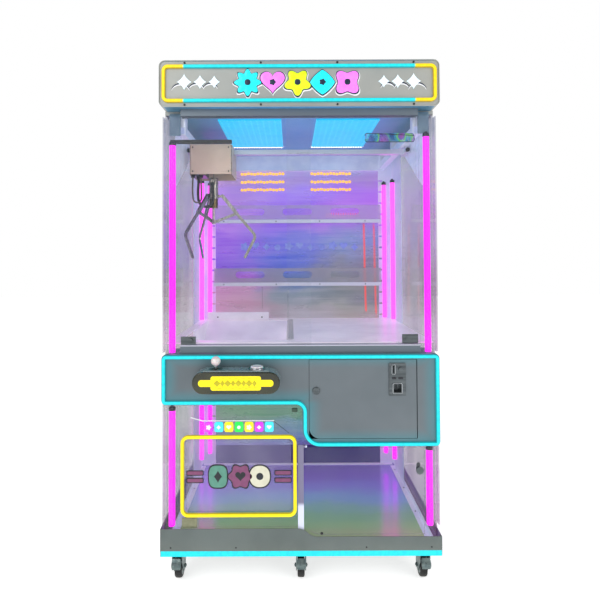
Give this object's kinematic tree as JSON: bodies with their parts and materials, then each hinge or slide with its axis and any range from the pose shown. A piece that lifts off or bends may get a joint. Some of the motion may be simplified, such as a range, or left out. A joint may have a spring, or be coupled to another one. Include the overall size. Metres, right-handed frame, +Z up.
{
  "type": "claw crane machine",
  "caption": "Free-standing glazed claw crane cabinet on casters, with gantry, three-pronged claw, console, coin door, sliding glass doors and prize flap.",
  "frame": {"origin": "under the middle of the whole machine, on the floor that its wheels stand on", "axes": "+Z up, -Y towards the player, +X to the player's right"},
  "size_m": [1.048, 0.916, 1.952],
  "materials": {
    "grey_paint": "satin powder coat",
    "base_paint": "satin powder coat",
    "white_paint": "gloss powder coat",
    "clear": "clear",
    "film": "iridescent film",
    "alloy": "satin",
    "zinc": "zinc plated",
    "chrome": "polished",
    "black_plastic": "gloss",
    "white_plastic": "gloss",
    "beige_plastic": "satin",
    "brown_wire": "matt",
    "wheel": "matt",
    "cyan_light": "lit",
    "yellow_light": "lit",
    "magenta_light": "lit"
  },
  "bodies": {
    "cabinet": {"base_plate": "base_paint", "base_skirt": "base_paint", "rear_caster_forks": "zinc", "posts": "white_paint", "side_windows": "clear", "rear_panel": "film", "header_shell": "grey_paint", "header_face": "grey_paint", "header_screws": "zinc", "cyan_lights": "cyan_light", "ceiling_lamps": "cyan_light", "light_tubes": "magenta_light", "door_tracks": "alloy", "playfield": "white_paint", "chute_guard": "clear", "shelves": "clear", "control_panel": "grey_paint", "control_housing": "zinc", "console_body": "black_plastic", "console_lamp": "yellow_light", "prize_front_panel": "clear", "prize_door_light": "yellow_light", "electrical_parts": "zinc", "gantry_rails": "white_paint"},
    "left_door": {"left_glass_door": "clear", "left_door_lock": "chrome"},
    "right_door": {"right_glass_door": "clear", "right_door_lock": "chrome"},
    "prize_flap": {"prize_flap": "clear"},
    "service_door": {"service_door": "grey_paint", "coin_acceptor": "chrome"},
    "coin_button": {"coin_return_button": "chrome"},
    "service_lock": {"service_lock": "chrome"},
    "access_door": {"access_door": "clear"},
    "access_lock": {"access_lock": "chrome"},
    "gimbal": {"joystick_gimbal": "zinc"},
    "joystick": {"joystick": "white_plastic"},
    "drop_button": {"drop_button": "white_plastic"},
    "bridge": {"gantry_bridge": "alloy"},
    "trolley": {"trolley": "zinc", "trolley_cover": "beige_plastic", "wire_loop": "brown_wire", "claw_rope": "white_plastic"},
    "claw": {"claw_head": "chrome", "claw_cable": "black_plastic"},
    "plunger": {"claw_plunger": "chrome"},
    "prong_1": {"claw_prong_1": "chrome"},
    "link_1": {"claw_link_1": "chrome"},
    "prong_2": {"claw_prong_2": "chrome"},
    "link_2": {"claw_link_2": "chrome"},
    "prong_3": {"claw_prong_3": "chrome"},
    "link_3": {"claw_link_3": "chrome"},
    "left_fork": {"left_caster_fork": "zinc"},
    "front_left_wheel": {"front_left_wheel": "wheel"},
    "middle_fork": {"middle_caster_fork": "zinc"},
    "front_middle_wheel": {"front_middle_wheel": "wheel"},
    "right_fork": {"right_caster_fork": "zinc"},
    "front_right_wheel": {"front_right_wheel": "wheel"},
    "rear_left_wheel": {"rear_left_wheel": "wheel"},
    "rear_right_wheel": {"rear_right_wheel": "wheel"}
  },
  "joints": [
    {"name": "bridge_travel", "type": "slide", "parent": "cabinet", "child": "bridge", "axis": [0, 1, 0], "range_m": [-0.1, 0.23]},
    {"name": "trolley_travel", "type": "slide", "parent": "bridge", "child": "trolley", "axis": [1, 0, 0], "range_m": [0, 0.67]},
    {"name": "claw_hoist", "type": "slide", "parent": "trolley", "child": "claw", "axis": [0, 0, -1], "range_m": [0, 0.3], "deforming": ["claw_rope"]},
    {"name": "claw_squeeze", "type": "slide", "parent": "claw", "child": "plunger", "axis": [0, 0, 1], "range_m": [0, 0.045]},
    {"name": "prong_1_hinge", "type": "hinge", "parent": "plunger", "child": "prong_1", "pos_m": [-0.354, -0.069, 1.374], "axis": [0, 1, 0], "range_deg": [-1, 27]},
    {"name": "link_1_hinge", "type": "hinge", "parent": "claw", "child": "link_1", "pos_m": [-0.329, -0.069, 1.483], "axis": [0, 1, 0], "range_deg": [-5.5, 1]},
    {"name": "prong_2_hinge", "type": "hinge", "parent": "plunger", "child": "prong_2", "pos_m": [-0.375, -0.05688, 1.374], "axis": [-0.866, -0.5, 0], "range_deg": [-1, 27]},
    {"name": "link_2_hinge", "type": "hinge", "parent": "claw", "child": "link_2", "pos_m": [-0.3875, -0.03522, 1.483], "axis": [-0.866, -0.5, 0], "range_deg": [-5.5, 1]},
    {"name": "prong_3_hinge", "type": "hinge", "parent": "plunger", "child": "prong_3", "pos_m": [-0.375, -0.08112, 1.374], "axis": [0.866, -0.5, 0], "range_deg": [-1, 27]},
    {"name": "link_3_hinge", "type": "hinge", "parent": "claw", "child": "link_3", "pos_m": [-0.3875, -0.10278, 1.483], "axis": [0.866, -0.5, 0], "range_deg": [-5.5, 1]},
    {"name": "joystick_fore_aft", "type": "hinge", "parent": "cabinet", "child": "gimbal", "pos_m": [-0.306, -0.42, 0.786], "axis": [1, 0, 0], "range_deg": [-12, 12], "stiffness_Nm_per_rad": 1.2},
    {"name": "joystick_side", "type": "hinge", "parent": "gimbal", "child": "joystick", "pos_m": [-0.306, -0.42, 0.786], "axis": [0, 1, 0], "range_deg": [-12, 12], "stiffness_Nm_per_rad": 1.2},
    {"name": "drop_button_press", "type": "slide", "parent": "cabinet", "child": "drop_button", "axis": [0, 0, -1], "range_m": [0, 0.004], "stiffness_N_per_m": 400, "springref_m": -0.003},
    {"name": "left_door_slide", "type": "slide", "parent": "cabinet", "child": "left_door", "axis": [1, 0, 0], "range_m": [0, 0.39]},
    {"name": "right_door_slide", "type": "slide", "parent": "cabinet", "child": "right_door", "axis": [-1, 0, 0], "range_m": [0, 0.39]},
    {"name": "prize_flap_swing", "type": "hinge", "parent": "cabinet", "child": "prize_flap", "pos_m": [-0.23, -0.354, 0.531], "axis": [1, 0, 0], "range_deg": [0, 75]},
    {"name": "service_door_swing", "type": "hinge", "parent": "cabinet", "child": "service_door", "pos_m": [0.425, -0.373, 0.69], "axis": [0, 0, 1], "range_deg": [0, 90]},
    {"name": "coin_return_press", "type": "slide", "parent": "service_door", "child": "coin_button", "axis": [0, 1, 0], "range_m": [0, 0.003], "stiffness_N_per_m": 300, "springref_m": -0.002},
    {"name": "service_lock_turn", "type": "hinge", "parent": "service_door", "child": "service_lock", "pos_m": [0.058, -0.378, 0.722], "axis": [0, -1, 0], "range_deg": [0, 90]},
    {"name": "access_door_swing", "type": "hinge", "parent": "cabinet", "child": "access_door", "pos_m": [0.017, -0.3595, 0.35], "axis": [0, 0, -1], "range_deg": [0, 95]},
    {"name": "access_lock_turn", "type": "hinge", "parent": "access_door", "child": "access_lock", "pos_m": [0.441, -0.362, 0.423], "axis": [0, 1, 0], "range_deg": [0, 90]},
    {"name": "left_caster_swivel", "type": "hinge", "parent": "cabinet", "child": "left_fork", "pos_m": [-0.462, -0.32, 0.1], "axis": [0, 0, 1], "continuous": true},
    {"name": "front_left_wheel_spin", "type": "hinge", "parent": "left_fork", "child": "front_left_wheel", "pos_m": [-0.462, -0.294, 0.04], "axis": [1, 0, 0], "continuous": true},
    {"name": "middle_caster_swivel", "type": "hinge", "parent": "cabinet", "child": "middle_fork", "pos_m": [0, -0.32, 0.1], "axis": [0, 0, 1], "continuous": true},
    {"name": "front_middle_wheel_spin", "type": "hinge", "parent": "middle_fork", "child": "front_middle_wheel", "pos_m": [0, -0.294, 0.04], "axis": [1, 0, 0], "continuous": true},
    {"name": "right_caster_swivel", "type": "hinge", "parent": "cabinet", "child": "right_fork", "pos_m": [0.462, -0.32, 0.1], "axis": [0, 0, 1], "continuous": true},
    {"name": "front_right_wheel_spin", "type": "hinge", "parent": "right_fork", "child": "front_right_wheel", "pos_m": [0.462, -0.294, 0.04], "axis": [1, 0, 0], "continuous": true},
    {"name": "rear_left_wheel_spin", "type": "hinge", "parent": "cabinet", "child": "rear_left_wheel", "pos_m": [-0.462, 0.389, 0.04], "axis": [1, 0, 0], "continuous": true},
    {"name": "rear_right_wheel_spin", "type": "hinge", "parent": "cabinet", "child": "rear_right_wheel", "pos_m": [0.462, 0.389, 0.04], "axis": [1, 0, 0], "continuous": true}
  ],
  "couplings": [
    {"joint": "prong_1_hinge", "follows": "claw_squeeze", "rad_per_m": 9.81},
    {"joint": "link_1_hinge", "follows": "claw_squeeze", "rad_per_m": -1.77},
    {"joint": "prong_2_hinge", "follows": "claw_squeeze", "rad_per_m": 9.81},
    {"joint": "link_2_hinge", "follows": "claw_squeeze", "rad_per_m": -1.77},
    {"joint": "prong_3_hinge", "follows": "claw_squeeze", "rad_per_m": 9.81},
    {"joint": "link_3_hinge", "follows": "claw_squeeze", "rad_per_m": -1.77}
  ]
}
